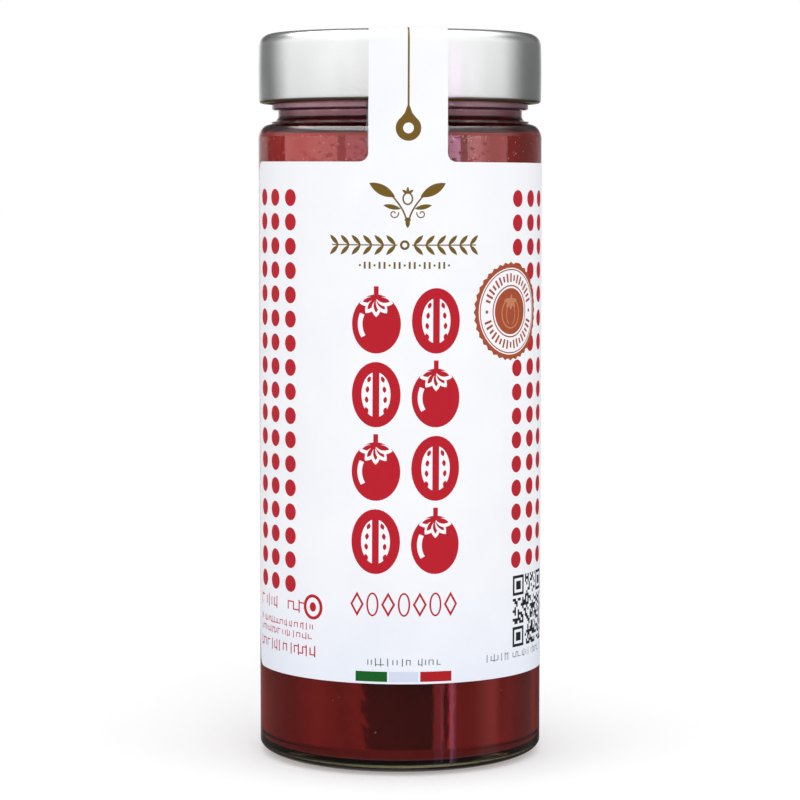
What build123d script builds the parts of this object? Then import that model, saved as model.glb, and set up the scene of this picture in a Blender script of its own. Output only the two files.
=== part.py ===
from build123d import *

import math
import os

# Passata bottle: a straight glass jar with a recessed neck, its filling, a deep twist-off
# lid of the jar's own width, and a front label whose strip runs up over the lid as a seal.
# Millimetres, +Z up. The origin is the centre of the foot, and the label faces -Y.

# ---- glass jar, outside ----
body_radius = 36.5
shoulder_height = 159.4  # where the straight side ends
shoulder_round = 3.3  # radius of the shoulder's outer corner
shoulder_slope = 0.5  # how far the shoulder rises between its corner and the neck
neck_inset = 5.0  # the neck's radius is this much under the body's
neck_fillet = 1.1
neck_height = 2.7  # from the shoulder's top to the bead
bead_inset = 3.4  # ring that carries the jar while it is made, and lies just under the lid
bead_height = 2.3
finish_inset = 4.1  # glass between the bead and the rim, inside the lid
rim_round = 0.9
heel_width = 7.0  # the foot's rounded edge is a quarter ellipse
heel_height = 3.1
foot_width = 2.2  # flat ring that the jar stands on
push_up = 2.0  # hollow under the foot

# ---- glass jar, inside ----
wall = 2.8
neck_wall = 2.4
floor_height = 3.2  # from the surface that the jar stands on to the edge of its inner floor
floor_rise = 1.4  # the inner floor is domed, as the foot is
inner_heel_round = 3.0
headspace = 15.0  # from the rim down to the filling

# ---- thread ridges on the finish ----
ridge_count = 4
ridge_sweep = 66.0  # degrees round the jar
ridge_radius = 1.0  # of the ridge's own round section
ridge_stand_out = 0.7
ridge_tilt = 2.2  # degrees from level
ridge_rise = 0.9  # from the bead up to the middle of a ridge

# ---- lid ----
lid_inset = 0.1  # the lid is nearly as wide as the jar
lid_height = 17.7
lid_gap = 0.85  # between the bead's middle and the lid's lower edge
lid_corner = 3.2
lid_sheet = 0.3
curl_radius = 0.95  # rolled lower edge
ring_overhang = 0.5  # the flat ring over the jar's rim reaches this far inside its mouth
panel_drop = 0.6  # the middle of the lid lies this much lower
panel_slope_width = 1.2

# ---- paper label with its strip ----
paper = 0.15
label_width = 104.0
label_bottom = 23.25
label_clear = 6.55  # from the label's top edge to the start of the shoulder
label_corner = 3.0
strip_width = 19.8
strip_fillet = 2.3
strip_past_centre = 12.0  # the strip ends this far beyond the lid's middle
strip_end_round = 2.3

# ---- heights and radii that follow from the sizes above ----
shoulder_top = shoulder_height + shoulder_round + shoulder_slope
bead_bottom = shoulder_top + neck_height
bead_middle = bead_bottom + bead_height / 2
bead_top = bead_bottom + bead_height
lid_bottom = bead_middle + lid_gap
lid_top = lid_bottom + lid_height
rim_height = lid_top - lid_sheet
fill_height = rim_height - headspace
neck_radius = body_radius - neck_inset
bead_radius = body_radius - bead_inset
finish_radius = body_radius - finish_inset
inner_radius = body_radius - wall
mouth_radius = neck_radius - neck_wall
foot_outer = body_radius - heel_width
foot_inner = foot_outer - foot_width
lid_radius = body_radius - lid_inset
ring_start = lid_radius - lid_corner
ring_inner = mouth_radius - ring_overhang
panel_radius = ring_inner - panel_slope_width
panel_height = lid_top - panel_drop
curl_height = lid_bottom + curl_radius
label_height = shoulder_height - label_clear - label_bottom
label_top = label_bottom + label_height
label_half_angle = label_width / (body_radius + paper) / 2  # radians round the jar


def turned(*edges):
    """A solid of revolution about Z from the edges of its half section in the XZ plane."""
    section = make_face(Plane.XZ * (Curve() + list(edges)))
    return revolve(section, Axis.Z)


def quarter(centre, radius, start):
    """A quarter circle of the half section, counter-clockwise from the start angle."""
    return CenterArc(centre, radius, start, 90)


def glass_outside():
    """The jar as if it were solid, from the hollow under its foot to its rim."""
    slope_start = body_radius - shoulder_round
    neck_foot = neck_radius + neck_fillet
    rim_start = rim_height - rim_round
    rim_outer = finish_radius - rim_round
    return turned(
        TangentArc((0, push_up), (foot_inner, 0), tangent=(1, 0)),
        Line((foot_inner, 0), (foot_outer, 0)),
        EllipticalCenterArc((foot_outer, heel_height), heel_width, heel_height, 270, arc_size=90),
        Line((body_radius, heel_height), (body_radius, shoulder_height)),
        quarter((slope_start, shoulder_height), shoulder_round, 0),
        Line((slope_start, shoulder_height + shoulder_round), (neck_foot, shoulder_top)),
        quarter((neck_foot, shoulder_top + neck_fillet), neck_fillet, 180),
        Line((neck_radius, shoulder_top + neck_fillet), (neck_radius, bead_bottom)),
        ThreePointArc((neck_radius, bead_bottom), (bead_radius, bead_middle), (finish_radius, bead_top)),
        Line((finish_radius, bead_top), (finish_radius, rim_start)),
        quarter((rim_outer, rim_start), rim_round, 0),
        Line((rim_outer, rim_height), (0, rim_height)),
        Line((0, rim_height), (0, push_up)),
    )


def glass_inside(top):
    """The space inside the jar, from its domed floor up to the given height."""
    shoulder = shoulder_height + shoulder_round - wall
    bend = shoulder_round - wall / 2
    bend_in, bend_start = inner_radius - bend, shoulder - bend
    floor_edge, side_start = inner_radius - inner_heel_round, floor_height + inner_heel_round
    neck_bend = neck_wall / 2
    neck_foot, neck_start = mouth_radius + neck_bend, shoulder + neck_bend
    return turned(
        TangentArc((0, floor_height + floor_rise), (floor_edge, floor_height), tangent=(1, 0)),
        quarter((floor_edge, side_start), inner_heel_round, 270),
        Line((inner_radius, side_start), (inner_radius, bend_start)),
        quarter((bend_in, bend_start), bend, 0),
        Line((bend_in, shoulder), (neck_foot, shoulder)),
        quarter((neck_foot, neck_start), neck_bend, 180),
        Line((mouth_radius, neck_start), (mouth_radius, top)),
        Line((mouth_radius, top), (0, top)),
        Line((0, top), (0, floor_height + floor_rise)),
    )


def thread_ridge(turn):
    """A short round ridge on the finish, tilted like a thread, with its middle turned from the front."""
    out = Pos(finish_radius + ridge_stand_out - ridge_radius, 0, 0)
    ring = revolve(Plane.XZ * out * Circle(ridge_radius), Axis.Z, ridge_sweep)
    dome = Sphere(ridge_radius, arc_size3=180, align=(Align.CENTER, Align.MIN, Align.CENTER))
    ridge = ring + out * Rot(Z=180) * dome + Rot(Z=ridge_sweep) * out * dome
    at_front = Rot(Z=-90 - ridge_sweep / 2) * ridge
    return Rot(Z=turn) * Pos(0, 0, bead_top + ridge_rise) * Rot(Y=-ridge_tilt) * at_front


def make_jar():
    """Clear glass: the outside with its thread ridges, less the inside."""
    glass = glass_outside()
    for number in range(ridge_count):
        glass = glass + thread_ridge(number * 360 / ridge_count)
    return glass - glass_inside(rim_height)


def make_filling():
    """The sauce, which fills the jar up to its level in the neck."""
    return glass_inside(fill_height)


def lid_face(inset):
    """The lid's outer face moved inwards by inset: its edges from the axis down to the rolled edge."""
    side, top, panel = lid_radius - inset, lid_top - inset, panel_height - inset
    corner_height = lid_top - lid_corner
    return [
        Line((0, panel), (panel_radius, panel)),
        Line((panel_radius, panel), (ring_inner, top)),
        Line((ring_inner, top), (ring_start, top)),
        quarter((ring_start, corner_height), lid_corner - inset, 0),
        Line((side, corner_height), (side, curl_height)),
    ]


def make_lid():
    """Pressed metal cap: a sunk panel, a flat ring on the jar's rim, a plain skirt and a rolled edge."""
    curl_inner = lid_radius - 2 * curl_radius
    return turned(
        *lid_face(0),
        CenterArc((lid_radius - curl_radius, curl_height), curl_radius, 180, 180),
        Line((curl_inner, curl_height), (lid_radius - lid_sheet, curl_height)),
        *lid_face(lid_sheet),
        Line((0, panel_height - lid_sheet), (0, panel_height)),
    )


def sleeve_face(gap):
    """One face of a sheet laid on jar and lid, from the label's bottom edge to the lid's middle."""
    side = lid_radius + gap
    return [
        Line((body_radius + gap, label_bottom), (body_radius + gap, shoulder_height)),
        Line((body_radius + gap, shoulder_height), (side, curl_height)),
        Line((side, curl_height), (side, lid_top - lid_corner)),
        quarter((ring_start, lid_top - lid_corner), lid_corner + gap, 0),
        Line((ring_start, lid_top + gap), (ring_inner, lid_top + gap)),
        Line((ring_inner, lid_top + gap), (panel_radius, panel_height + gap)),
        Line((panel_radius, panel_height + gap), (0, panel_height + gap)),
    ]


def paper_sleeve():
    """Paper all round the jar and over the whole lid, straight across the neck, to cut the label from."""
    return turned(
        *sleeve_face(0),
        Line((0, panel_height), (0, panel_height + paper)),
        *sleeve_face(paper),
        Line((body_radius + paper, label_bottom), (body_radius, label_bottom)),
    )


def spandrel(radius, depth):
    """The block between a square corner at the origin and the arc that rounds that corner."""
    square = Rectangle(radius, radius, align=(Align.MIN, Align.MIN))
    return extrude(square - Pos(radius, radius) * Circle(radius), depth)


def both_sides(shape):
    """A shape on the right together with its mirror image on the left."""
    return shape + mirror(shape, about=Plane.YZ)


def label_cutter():
    """What the label keeps of the sleeve: a sector round the front, and a straight band up over the lid."""
    reach = 2 * body_radius
    far = reach / math.cos(label_half_angle / 2)
    angles = [label_half_angle * share for share in (-1, -0.5, 0.5, 1)]
    corners = [(far * math.sin(a), -far * math.cos(a)) for a in angles]
    sector = make_face(Polyline((0, 0), *corners, (0, 0)))
    front = extrude(Pos(0, 0, label_bottom) * sector, label_height)
    length = reach + strip_past_centre
    plan = Pos(0, strip_past_centre - length / 2, label_top) * Rectangle(strip_width, length)
    band = extrude(plan, reach)
    notch = Plane((strip_width / 2, 0, label_top), x_dir=(1, 0, 0), z_dir=(0, -1, 0))
    return front + band + both_sides(notch * spandrel(strip_fillet, reach))


def label_corners():
    """Waste that rounds the label's four outer corners and the two at the strip's end."""
    outward = Vector(math.sin(label_half_angle), -math.cos(label_half_angle), 0)
    inward = Vector(-math.cos(label_half_angle), -math.sin(label_half_angle), 0)
    start = outward * (2 * body_radius) + (0, 0, label_bottom)
    low = Plane(start, x_dir=inward, z_dir=-outward) * spandrel(label_corner, 1.5 * body_radius)
    high = mirror(low, about=Plane.XY.offset(label_bottom + label_height / 2))
    strip_end = Pos(strip_width / 2, strip_past_centre, lid_top - 2 * lid_corner) * Rot(Z=180)
    end = strip_end * spandrel(strip_end_round, 4 * lid_corner)
    return both_sides(low + high + end)


def make_label():
    """The die-cut paper: label and sealing strip in one piece, with all its corners rounded."""
    return (paper_sleeve() & label_cutter()) - label_corners()


def main():
    os.makedirs("parts", exist_ok=True)
    nodes = {
        "glass_jar": make_jar(),
        "passata": make_filling(),
        "twist_lid": make_lid(),
        "paper_label": make_label(),
    }
    for name, shape in nodes.items():
        print(name, "solids", len(shape.solids()), "volume_ml", round(shape.volume / 1000, 2))
        export_step(shape, f"parts/{name}.step")
    print("overall height", round(lid_top, 2), "filling height", round(fill_height, 2))


main()
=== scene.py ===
# %% [markdown]
# # A shut jar of passata
#
# The object is a straight glass jar of tomato passata with a recessed neck, a deep silver
# twist-off lid and a white paper label whose strip runs up over the lid as a seal.
# A solid model of it gives the frame: its places and sizes are read from there, and this
# script makes the pieces that are seen. Each step says what the real thing is, how it could
# be made in Blender, and why this way was chosen.

# %% Tools and the solid frame
import math
import random

import bpy
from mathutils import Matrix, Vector, noise
from mathutils.geometry import delaunay_2d_cdt


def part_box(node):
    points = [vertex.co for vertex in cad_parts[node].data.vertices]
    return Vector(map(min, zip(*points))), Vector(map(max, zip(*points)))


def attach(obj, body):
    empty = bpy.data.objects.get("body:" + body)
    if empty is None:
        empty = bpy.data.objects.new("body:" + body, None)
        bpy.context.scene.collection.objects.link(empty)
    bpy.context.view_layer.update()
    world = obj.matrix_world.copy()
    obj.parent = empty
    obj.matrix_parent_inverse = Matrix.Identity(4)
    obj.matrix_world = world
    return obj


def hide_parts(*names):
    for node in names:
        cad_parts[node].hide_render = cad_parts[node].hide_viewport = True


MM = 0.001  # outlines are written in millimetres, and Blender works in metres
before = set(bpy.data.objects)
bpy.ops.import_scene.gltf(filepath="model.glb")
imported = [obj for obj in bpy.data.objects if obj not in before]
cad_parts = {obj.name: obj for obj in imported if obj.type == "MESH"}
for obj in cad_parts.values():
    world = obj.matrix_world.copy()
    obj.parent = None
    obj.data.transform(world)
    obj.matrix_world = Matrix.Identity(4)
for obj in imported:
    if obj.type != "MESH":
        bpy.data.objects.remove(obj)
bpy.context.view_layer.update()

# %% [markdown]
# ## Sizes
#
# The boxes of the four solid nodes give the jar's radius, its wall, the lid's place, the
# sauce's level and the paper's thickness. The few sizes that a box can't tell, such as the
# shoulder's height, are written here once, by name, and everything below is worked out
# from them.

# %% Sizes read from the solid nodes
def node_size(name):
    """Radius, lowest and highest point of a round node, in millimetres."""
    low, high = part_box(name)
    radius = (high[0] - low[0]) / 2
    return [round(value / MM, 3) for value in (radius, low[2], high[2])]


body_radius, _, rim_height = node_size("glass_jar")
inner_radius, floor_height, fill_height = node_size("passata")
lid_radius, lid_bottom, lid_top = node_size("twist_lid")
label_bottom, label_over_lid = node_size("paper_label")[1:]
wall = body_radius - inner_radius
paper = label_over_lid - lid_top
print("body radius", body_radius, "wall", round(wall, 2), "lid", lid_bottom, "to", lid_top)
print("sauce", floor_height, "to", fill_height, "paper", round(paper, 3))

# %% [markdown]
# The sizes below run from the jar's shoulder and neck to its rim and foot, then over the
# lid, and end with the label. All are in millimetres.

# %% Sizes that the boxes don't tell
shoulder_height = 159.4  # where the straight side ends
shoulder_round = 3.3
shoulder_slope = 0.5  # how far the shoulder's flat part still rises
neck_radius = body_radius - 5.0
neck_flare = 1.7  # radius of the soft turn from the shoulder up into the neck
neck_height = 2.7
bead_radius = body_radius - 3.4
bead_height = 2.3
bead_flank = 0.7  # height of the bead's upper and of its lower round
finish_radius = body_radius - 4.1
neck_wall = 2.4
mouth_radius = neck_radius - neck_wall
rim_round = 0.9
heel_width, heel_height = 7.0, 3.1
foot_width, push_up = 2.2, 2.0  # the ring it stands on, and the dome inside the ring
floor_rise, inner_heel_round = 1.4, 3.0
lid_corner = 3.2
lid_sheet = 0.3
curl_radius = 0.95
ring_inner = mouth_radius - 0.5  # inside this the lid's top steps down to its panel
panel_radius = ring_inner - 1.2
panel_drop = 0.6
label_width = 104.0
label_clear = 6.55  # from the label's upper edge to the shoulder
label_corner = 3.0
strip_width = 19.8
strip_fillet = 2.3
strip_past_centre = 12.0  # how far the strip reaches past the middle of the lid
print("neck radius", neck_radius, "label", label_width, "wide, its strip", strip_width)

# %% [markdown]
# ## Turned shapes
#
# Glass, sauce and lid are bodies of revolution. A Screw modifier or `bpy.ops.mesh.spin`
# could turn an outline, but both weld the axis badly and give no say over single points.
# A small function that lays rings of vertices does the same, leaves one clean vertex on
# the axis, and lets a ridge or a ripple be added while the points are placed.

# %% Outline helpers
def shares(count):
    """Even shares from 0 to 1, both included."""
    return [i / count for i in range(count + 1)]


def arc(centre, across, up, first, last, steps):
    """Points on an elliptical arc of the half section, from one angle to another in degrees."""
    angles = [math.radians(first + (last - first) * i / steps) for i in range(steps + 1)]
    return [(centre[0] + across * math.cos(a), centre[1] + up * math.sin(a)) for a in angles]


def run(start, end, step):
    """Points along a straight run of the half section, no more than a step apart, ends included."""
    count = max(1, math.ceil(math.dist(start, end) / step))
    return [tuple(a + (b - a) * t for a, b in zip(start, end)) for t in shares(count)]


def wall_run(start, end, step):
    """A straight run with short end stretches, so that a bend's shading doesn't spread into it."""
    end_stretch = 0.12
    share = end_stretch / math.dist(start, end)
    first, last = [tuple(a + (b - a) * t for a, b in zip(start, end)) for t in (share, 1 - share)]
    return [start] + run(first, last, step) + [end]


def joined(*stretches):
    """One outline from several stretches, with the points that two of them share kept once."""
    outline = []
    for stretch in stretches:
        for point in stretch:
            if not outline or math.dist(point, outline[-1]) > 1e-6:
                outline.append(point)
    return outline


print("an arc of a quarter in 4 steps has", len(arc((0, 0), 1, 1, 0, 90, 4)), "points")

# %% [markdown]
# The lathe turns an outline into a closed mesh. Faces stay smooth except where two meet at
# a sharp bend, which is marked, so that a rounded edge shines and a crisp one stays crisp.

# %% The lathe
def new_piece(name, points, faces, sharp_angle=35):
    """A mesh object from points in millimetres, smooth except at bends sharper than the angle."""
    mesh = bpy.data.meshes.new(name)
    mesh.from_pydata([[c * MM for c in p] for p in points], [], faces)
    mesh.validate()
    mesh.shade_smooth()
    mesh.set_sharp_from_angle(angle=math.radians(sharp_angle))
    piece = bpy.data.objects.new(name, mesh)
    bpy.context.collection.objects.link(piece)
    return piece


def turned(name, outline, sides=288, shape=None, sharp_angle=35):
    """A closed piece turned about Z from (radius, height) points; shape may move each point."""
    points, rings = [], []
    on_axis = 1e-6
    for radius, height in outline:
        if radius < on_axis:
            rings.append([len(points)] * sides)
            points.append((0, 0, height))
            continue
        rings.append(list(range(len(points), len(points) + sides)))
        for i in range(sides):
            angle = 2 * math.pi * i / sides
            r, h = shape(radius, height, angle) if shape else (radius, height)
            points.append((r * math.cos(angle), r * math.sin(angle), h))
    faces = []
    for low, high in zip(rings, rings[1:]):
        for i in range(sides):
            j = (i + 1) % sides
            corners = [low[i], low[j], high[j], high[i]]
            faces.append(list(dict.fromkeys(corners)))
    piece = new_piece(name, points, faces, sharp_angle)
    print(name, "has", len(points), "points and", len(faces), "faces")
    return piece


# %% [markdown]
# ## The glass
#
# A moulded jar stands on a ring round a shallow push-up. Its heel is rounded, its side is
# straight, and above the shoulder come a groove, a bead and the finish with four thread
# ridges. The wall is real: refraction only looks right when the mesh has an inside and an
# outside. The ridges could be separate tubes, but glass that overlaps glass shows false
# seams, so each ridge is a swelling of the outer skin itself.

# %% Heights of the neck
shoulder_top = shoulder_height + shoulder_round + shoulder_slope
bead_bottom = shoulder_top + neck_height
bead_top = bead_bottom + bead_height
ridge_section = 1.0
ridge_proud = 0.7
ridge_path = finish_radius + ridge_proud - ridge_section
ridge_half_sweep = math.radians(33)
ridge_tilt = math.radians(2.2)
ridge_over_bead = 0.9
ridge_middle = bead_top + ridge_over_bead
ridges_start = bead_top - 1.2
quarter = math.pi / 2  # four ridges, one to each quarter of the neck
print("shoulder's top", round(shoulder_top, 2), "bead", round(bead_bottom, 2), "to", round(bead_top, 2))


def thread_ridge(radius, height, angle):
    """The outer skin of the finish, swollen where one of the four tilted ridges runs."""
    if height <= ridges_start or height > rim_height - rim_round or radius < neck_radius:
        return radius, height
    from_middle = (angle + quarter + quarter / 2) % quarter - quarter / 2
    past_end = max(0.0, abs(from_middle) - ridge_half_sweep) * ridge_path
    centre = ridge_middle + ridge_path * math.sin(from_middle) * math.sin(ridge_tilt)
    inside = ridge_section ** 2 - past_end ** 2 - (height - centre) ** 2
    if inside > 0:
        radius = max(radius, ridge_path + math.sqrt(inside))
    return radius, height


# %% [markdown]
# The outline is put together from straight runs and arcs, foot first. Just before and after
# each bend of the straight side stands one more ring of points, since smooth shading would
# otherwise bend the mirror image of the whole tall wall.

# %% The jar's outline
def glass_outline():
    """From the middle of the push-up round the outside to the rim, and down the inside to the floor."""
    foot_outer = body_radius - heel_width
    foot_inner = foot_outer - foot_width
    slope_start = body_radius - shoulder_round
    neck_foot = neck_radius + neck_flare
    flank_bottom, flank_top = bead_bottom + bead_flank, bead_top - bead_flank
    bead_depth, finish_depth = bead_radius - neck_radius, bead_radius - finish_radius
    outside = joined(
        [(foot_inner * t, push_up * (1 - t * t)) for t in shares(16)],
        run((foot_inner, 0), (foot_outer, 0), 1.1),
        arc((foot_outer, heel_height), heel_width, heel_height, 270, 360, 24),
        wall_run((body_radius, heel_height), (body_radius, shoulder_height), 4),
        arc((slope_start, shoulder_height), shoulder_round, shoulder_round, 0, 90, 20),
        run((slope_start, shoulder_height + shoulder_round), (neck_foot, shoulder_top), 0.5),
        arc((neck_foot, shoulder_top + neck_flare), neck_flare, neck_flare, 270, 180, 10),
        run((neck_radius, shoulder_top + neck_flare), (neck_radius, bead_bottom), 0.5),
        arc((neck_radius, flank_bottom), bead_depth, bead_flank, 270, 360, 10),
        wall_run((bead_radius, flank_bottom), (bead_radius, flank_top), 0.3),
        arc((finish_radius, flank_top), finish_depth, bead_flank, 0, 90, 10),
        run((finish_radius, bead_top), (finish_radius, rim_height - rim_round), 0.22),
        arc((finish_radius - rim_round, rim_height - rim_round), rim_round, rim_round, 0, 90, 8),
        run((finish_radius - rim_round, rim_height), (mouth_radius, rim_height), 1),
    )
    return joined(outside, reversed(inside_outline(0, rim_height)))


def inside_outline(reach, top, bend=shoulder_round - wall / 2):
    """From the middle of the jar's floor up to the given height, moved into the glass by reach."""
    radius, mouth = inner_radius + reach, mouth_radius + reach
    low = floor_height - reach
    shoulder = shoulder_height + shoulder_round - wall + reach
    neck_bend = neck_wall / 2
    floor_edge = inner_radius - inner_heel_round
    heel = inner_heel_round + reach
    dome = [(floor_edge * t, low + floor_rise * (1 - t * t)) for t in shares(12)]
    neck_centre = (mouth + neck_bend, shoulder + neck_bend)
    return joined(
        dome,
        arc((floor_edge, low + heel), heel, heel, 270, 360, 16),
        wall_run((radius, low + heel), (radius, shoulder - bend), 4),
        arc((radius - bend, shoulder - bend), bend, bend, 0, 90, 12),
        run((radius - bend, shoulder), (mouth + neck_bend, shoulder), 0.6),
        arc(neck_centre, neck_bend, neck_bend, 270, 180, 8),
        run((mouth, shoulder + neck_bend), (mouth, top), 1.5),
    )


glass = turned("jar_glass", glass_outline(), shape=thread_ridge, sharp_angle=50)
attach(glass, "root")
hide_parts("glass_jar")

# %% [markdown]
# ## The sauce
#
# Passata wets the glass, so no air lies between them. Two faces in the same place would
# fight, and a gap would shine like a mirror, so the sauce is made a fraction of a
# millimetre larger than the space it fills. Its own face lies inside the wall and is what
# the eye meets after the outer skin. At its level in the neck it climbs the glass a little.

# %% Sauce body
sauce_reach = 0.12
sauce_cling = 0.9
wall_relief = 0.05
level_relief = 0.25
relief_scale = 0.09
cling_fall = 9  # how fast the climb at the glass dies away towards the middle


def sauce_relief(radius, height, angle):
    """A slow unevenness of the sauce, never less than a hair into the wall."""
    x, y = radius * math.cos(angle), radius * math.sin(angle)
    spot = Vector((x, y, height * 0.2)) * relief_scale
    if radius > inner_radius:
        return radius + wall_relief * noise.noise(spot), height
    if height > fill_height - 1:
        return radius, height + level_relief * noise.noise(spot * 2)
    return radius, height


def sauce_outline():
    """The jar's inside with its reach, closed by a surface that climbs the wall."""
    level = fill_height - sauce_cling
    edge = mouth_radius + sauce_reach
    surface = [(edge * (1 - t), level + sauce_cling * math.exp(-cling_fall * t)) for t in shares(18)]
    tight_bend = 0.5
    return joined(inside_outline(sauce_reach, level, tight_bend), surface)


sauce = turned("sauce", sauce_outline(), shape=sauce_relief)
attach(sauce, "root")
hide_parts("passata")

# %% [markdown]
# Close to the glass the sauce isn't even: bits of pulp and small bubbles lie flat against
# the wall, most of them just under the shoulder, where they rise to. They could be drawn in
# the material, but a bubble catches light because it stands proud, so they are small lens
# shapes in one joined mesh, scattered by a seeded random so that every run is the same.

# %% Pulp and bubbles against the glass
lens_seat = 0.03  # how deep a lens's rim sits in the sauce
lens_proud = 0.35  # a lens's height as a share of its size


def lens(points, faces, angle, height, across, up, proud):
    """Adds one flat dome to a mesh in the making, lying on the sauce at an angle and height."""
    rings, sides = 3, 10
    start = len(points)
    base = inner_radius + sauce_reach - lens_seat
    for ring in range(rings + 1):
        share = ring / rings
        for i in range(sides if ring < rings else 1):
            turn = 2 * math.pi * i / sides
            reach = math.cos(share * math.pi / 2)
            lean = angle + across * reach * math.cos(turn) / inner_radius
            radius = base + proud * math.sin(share * math.pi / 2)
            z = height + up * reach * math.sin(turn)
            points.append((radius * math.cos(lean), radius * math.sin(lean), z))
    for ring in range(rings):
        for i in range(sides):
            j = (i + 1) % sides
            a, b = start + ring * sides + i, start + ring * sides + j
            if ring < rings - 1:
                faces.append((a, b, b + sides, a + sides))
            else:
                faces.append((a, b, start + rings * sides))
    faces.append([start + i for i in reversed(range(sides))])


def scatter(name, count, low, high, size, seed, middle=0.0, spread=math.pi):
    """A joined mesh of many lenses between two heights, thickest towards the higher one."""
    draw = random.Random(seed)
    points, faces = [], []
    for _ in range(count):
        height = high - (high - low) * draw.random() ** 1.6
        across = size * (0.5 + draw.random() ** 2)
        up = across * (0.6 + 0.6 * draw.random())
        angle = middle + draw.uniform(-spread, spread)
        lens(points, faces, angle, height, across, up, lens_proud * across)
    piece = new_piece(name, points, faces, 80)
    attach(piece, "root")
    print(name, "has", count, "lenses")
    return piece


heel_level = floor_height + inner_heel_round
sauce_shoulder = shoulder_height + shoulder_round - wall
shoulder_level = sauce_shoulder - 0.6
bubble_low = shoulder_level - 9
froth_low = shoulder_level - 1.3
froth_turn = math.radians(-63)
froth_spread = 0.15
# the bubbles and the froth take a pale colour below, a painted glint of the light they would catch
bubbles = scatter("bubbles_under_shoulder", 260, bubble_low, shoulder_level, 0.17, 7)
froth = scatter("froth_beside_strip", 45, froth_low, shoulder_level, 0.14, 5, froth_turn, froth_spread)
pulp = scatter("pulp_on_glass", 420, heel_level, shoulder_level, 0.22, 8)

# %% [markdown]
# ## The lid
#
# A deep twist-off cap is pressed from thin steel: a ring that bears on the jar's rim, a
# sunk panel with a safety button drawn down by the vacuum, a tall plain skirt and a rolled
# lower edge. It is turned like the glass, with the sheet's thickness, so that the curl and
# the inside of the skirt are real where they show under the lid.

# %% Lid body
button_radius = 11.0
button_dip = 0.45
groove_width, groove_depth = 1.8, 0.25
crown = 0.11  # the skirt's middle stands this much proud of its ends
ring_start = lid_radius - lid_corner
corner_start = lid_top - lid_corner
skirt_end = lid_bottom + curl_radius


def lid_skin(inset):
    """The lid's outer face moved inwards by inset, from its middle to the top of the curl."""
    panel, top = lid_top - panel_drop - inset, lid_top - inset
    side, corner = lid_radius - inset, lid_corner - inset
    groove_middle, groove_end = button_radius + groove_width / 2, button_radius + groove_width
    rise = ring_inner - panel_radius
    dish = [(button_radius * t, panel - button_dip * (1 - t ** 4)) for t in shares(10)]
    slope = [(panel_radius + rise * t, panel + panel_drop * (3 * t * t - 2 * t ** 3)) for t in shares(8)]
    skirt = [
        (side - crown * (2 * t - 1) ** 2, corner_start + (skirt_end - lid_top + lid_corner) * t)
        for t in shares(20)
    ]
    return joined(
        dish,
        run((button_radius, panel), (groove_middle, panel - groove_depth), 0.5),
        run((groove_middle, panel - groove_depth), (groove_end, panel), 0.5),
        run((groove_end, panel), (panel_radius, panel), 3),
        slope,
        run((ring_inner, top), (ring_start, top), 1),
        arc((ring_start, corner_start), corner - crown, corner, 90, 0, 18),
        skirt,
    )


def lid_outline():
    """The outer face, the rolled edge and back up the inner face to the middle."""
    curl_middle = (lid_radius - crown - curl_radius, skirt_end)
    curl = arc(curl_middle, curl_radius, curl_radius, 0, -180, 16)
    roll = curl_radius - lid_sheet
    inner_curl = arc(curl_middle, roll, roll, -180, -360, 12)
    return joined(lid_skin(0), curl, inner_curl, reversed(lid_skin(lid_sheet)))


lid = turned("lid_steel", list(reversed(lid_outline())), sharp_angle=60)
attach(lid, "root")
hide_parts("twist_lid")

# %% [markdown]
# ## The label
#
# The label and its strip are one die-cut sheet. The print could be painted by shader
# masks, but such edges blur close up and don't travel well to other programs. Here the
# whole print is laid out flat, in millimetres, as closed outlines on the sheet. Blender's
# constrained triangulation cuts the sheet along every outline at once, each small face
# takes its ink, and the cut sheet is then wrapped round the jar and over the lid.

# %% The flat sheet
label_top = shoulder_height - label_clear
paper_radius = body_radius + paper
half_label, half_strip = label_width / 2, strip_width / 2
over_corner = math.pi / 2 * lid_corner
slope_run = math.hypot(ring_inner - panel_radius, panel_drop)
path_ring = corner_start + over_corner
path_slope = path_ring + ring_start - ring_inner
path_panel = path_slope + slope_run
strip_end = path_panel + panel_radius + strip_past_centre


def corner_points(x, y, radius, first, steps=8):
    """A rounded corner of the sheet about (x, y), turning left by a quarter from the first angle."""
    return arc((x, y), radius, radius, first, first + 90, steps)


def notch_points(side):
    """The rounded inner corner between strip and label on one side, from the strip down."""
    x, y = side * (half_strip + strip_fillet), label_top + strip_fillet
    points = arc((x, y), strip_fillet, strip_fillet, 180, 270, 8)
    return points if side > 0 else [(2 * x - px, py) for px, py in reversed(points)]


def sheet_outline():
    """The die-cut outline of label and strip, counter-clockwise from the lower left corner."""
    low, high, r = label_bottom + label_corner, label_top - label_corner, label_corner
    x, end = half_label - label_corner, strip_end - strip_fillet
    return joined(
        corner_points(-x, low, r, 180),
        corner_points(x, low, r, 270),
        corner_points(x, high, r, 0),
        reversed(notch_points(1)),
        corner_points(half_strip - strip_fillet, end, strip_fillet, 0),
        corner_points(-half_strip + strip_fillet, end, strip_fillet, 90),
        reversed(notch_points(-1)),
        corner_points(-x, high, r, 90),
    )


print("label", label_bottom, "to", round(label_top, 2), "strip ends at", round(strip_end, 2))

# %% [markdown]
# Outlines for the print come from a few small makers: a ring is an inked shape with a
# paper-coloured one on top, as a printer would leave it bare, and a later outline always
# covers an earlier one.

# %% Makers of printed shapes
print_shapes = []  # (outline, ink), later ones on top


def oval(x, y, across, up, ink, steps=28):
    """Prints a filled oval by its middle and half sizes."""
    print_shapes.append((arc((x, y), across, up, 0, 360 - 360 / steps, steps - 1), ink))


def turned_by(points, x, y, degrees):
    """Points turned about the origin and then moved to (x, y)."""
    c, s = math.cos(math.radians(degrees)), math.sin(math.radians(degrees))
    return [(x + c * px - s * py, y + s * px + c * py) for px, py in points]


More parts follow.
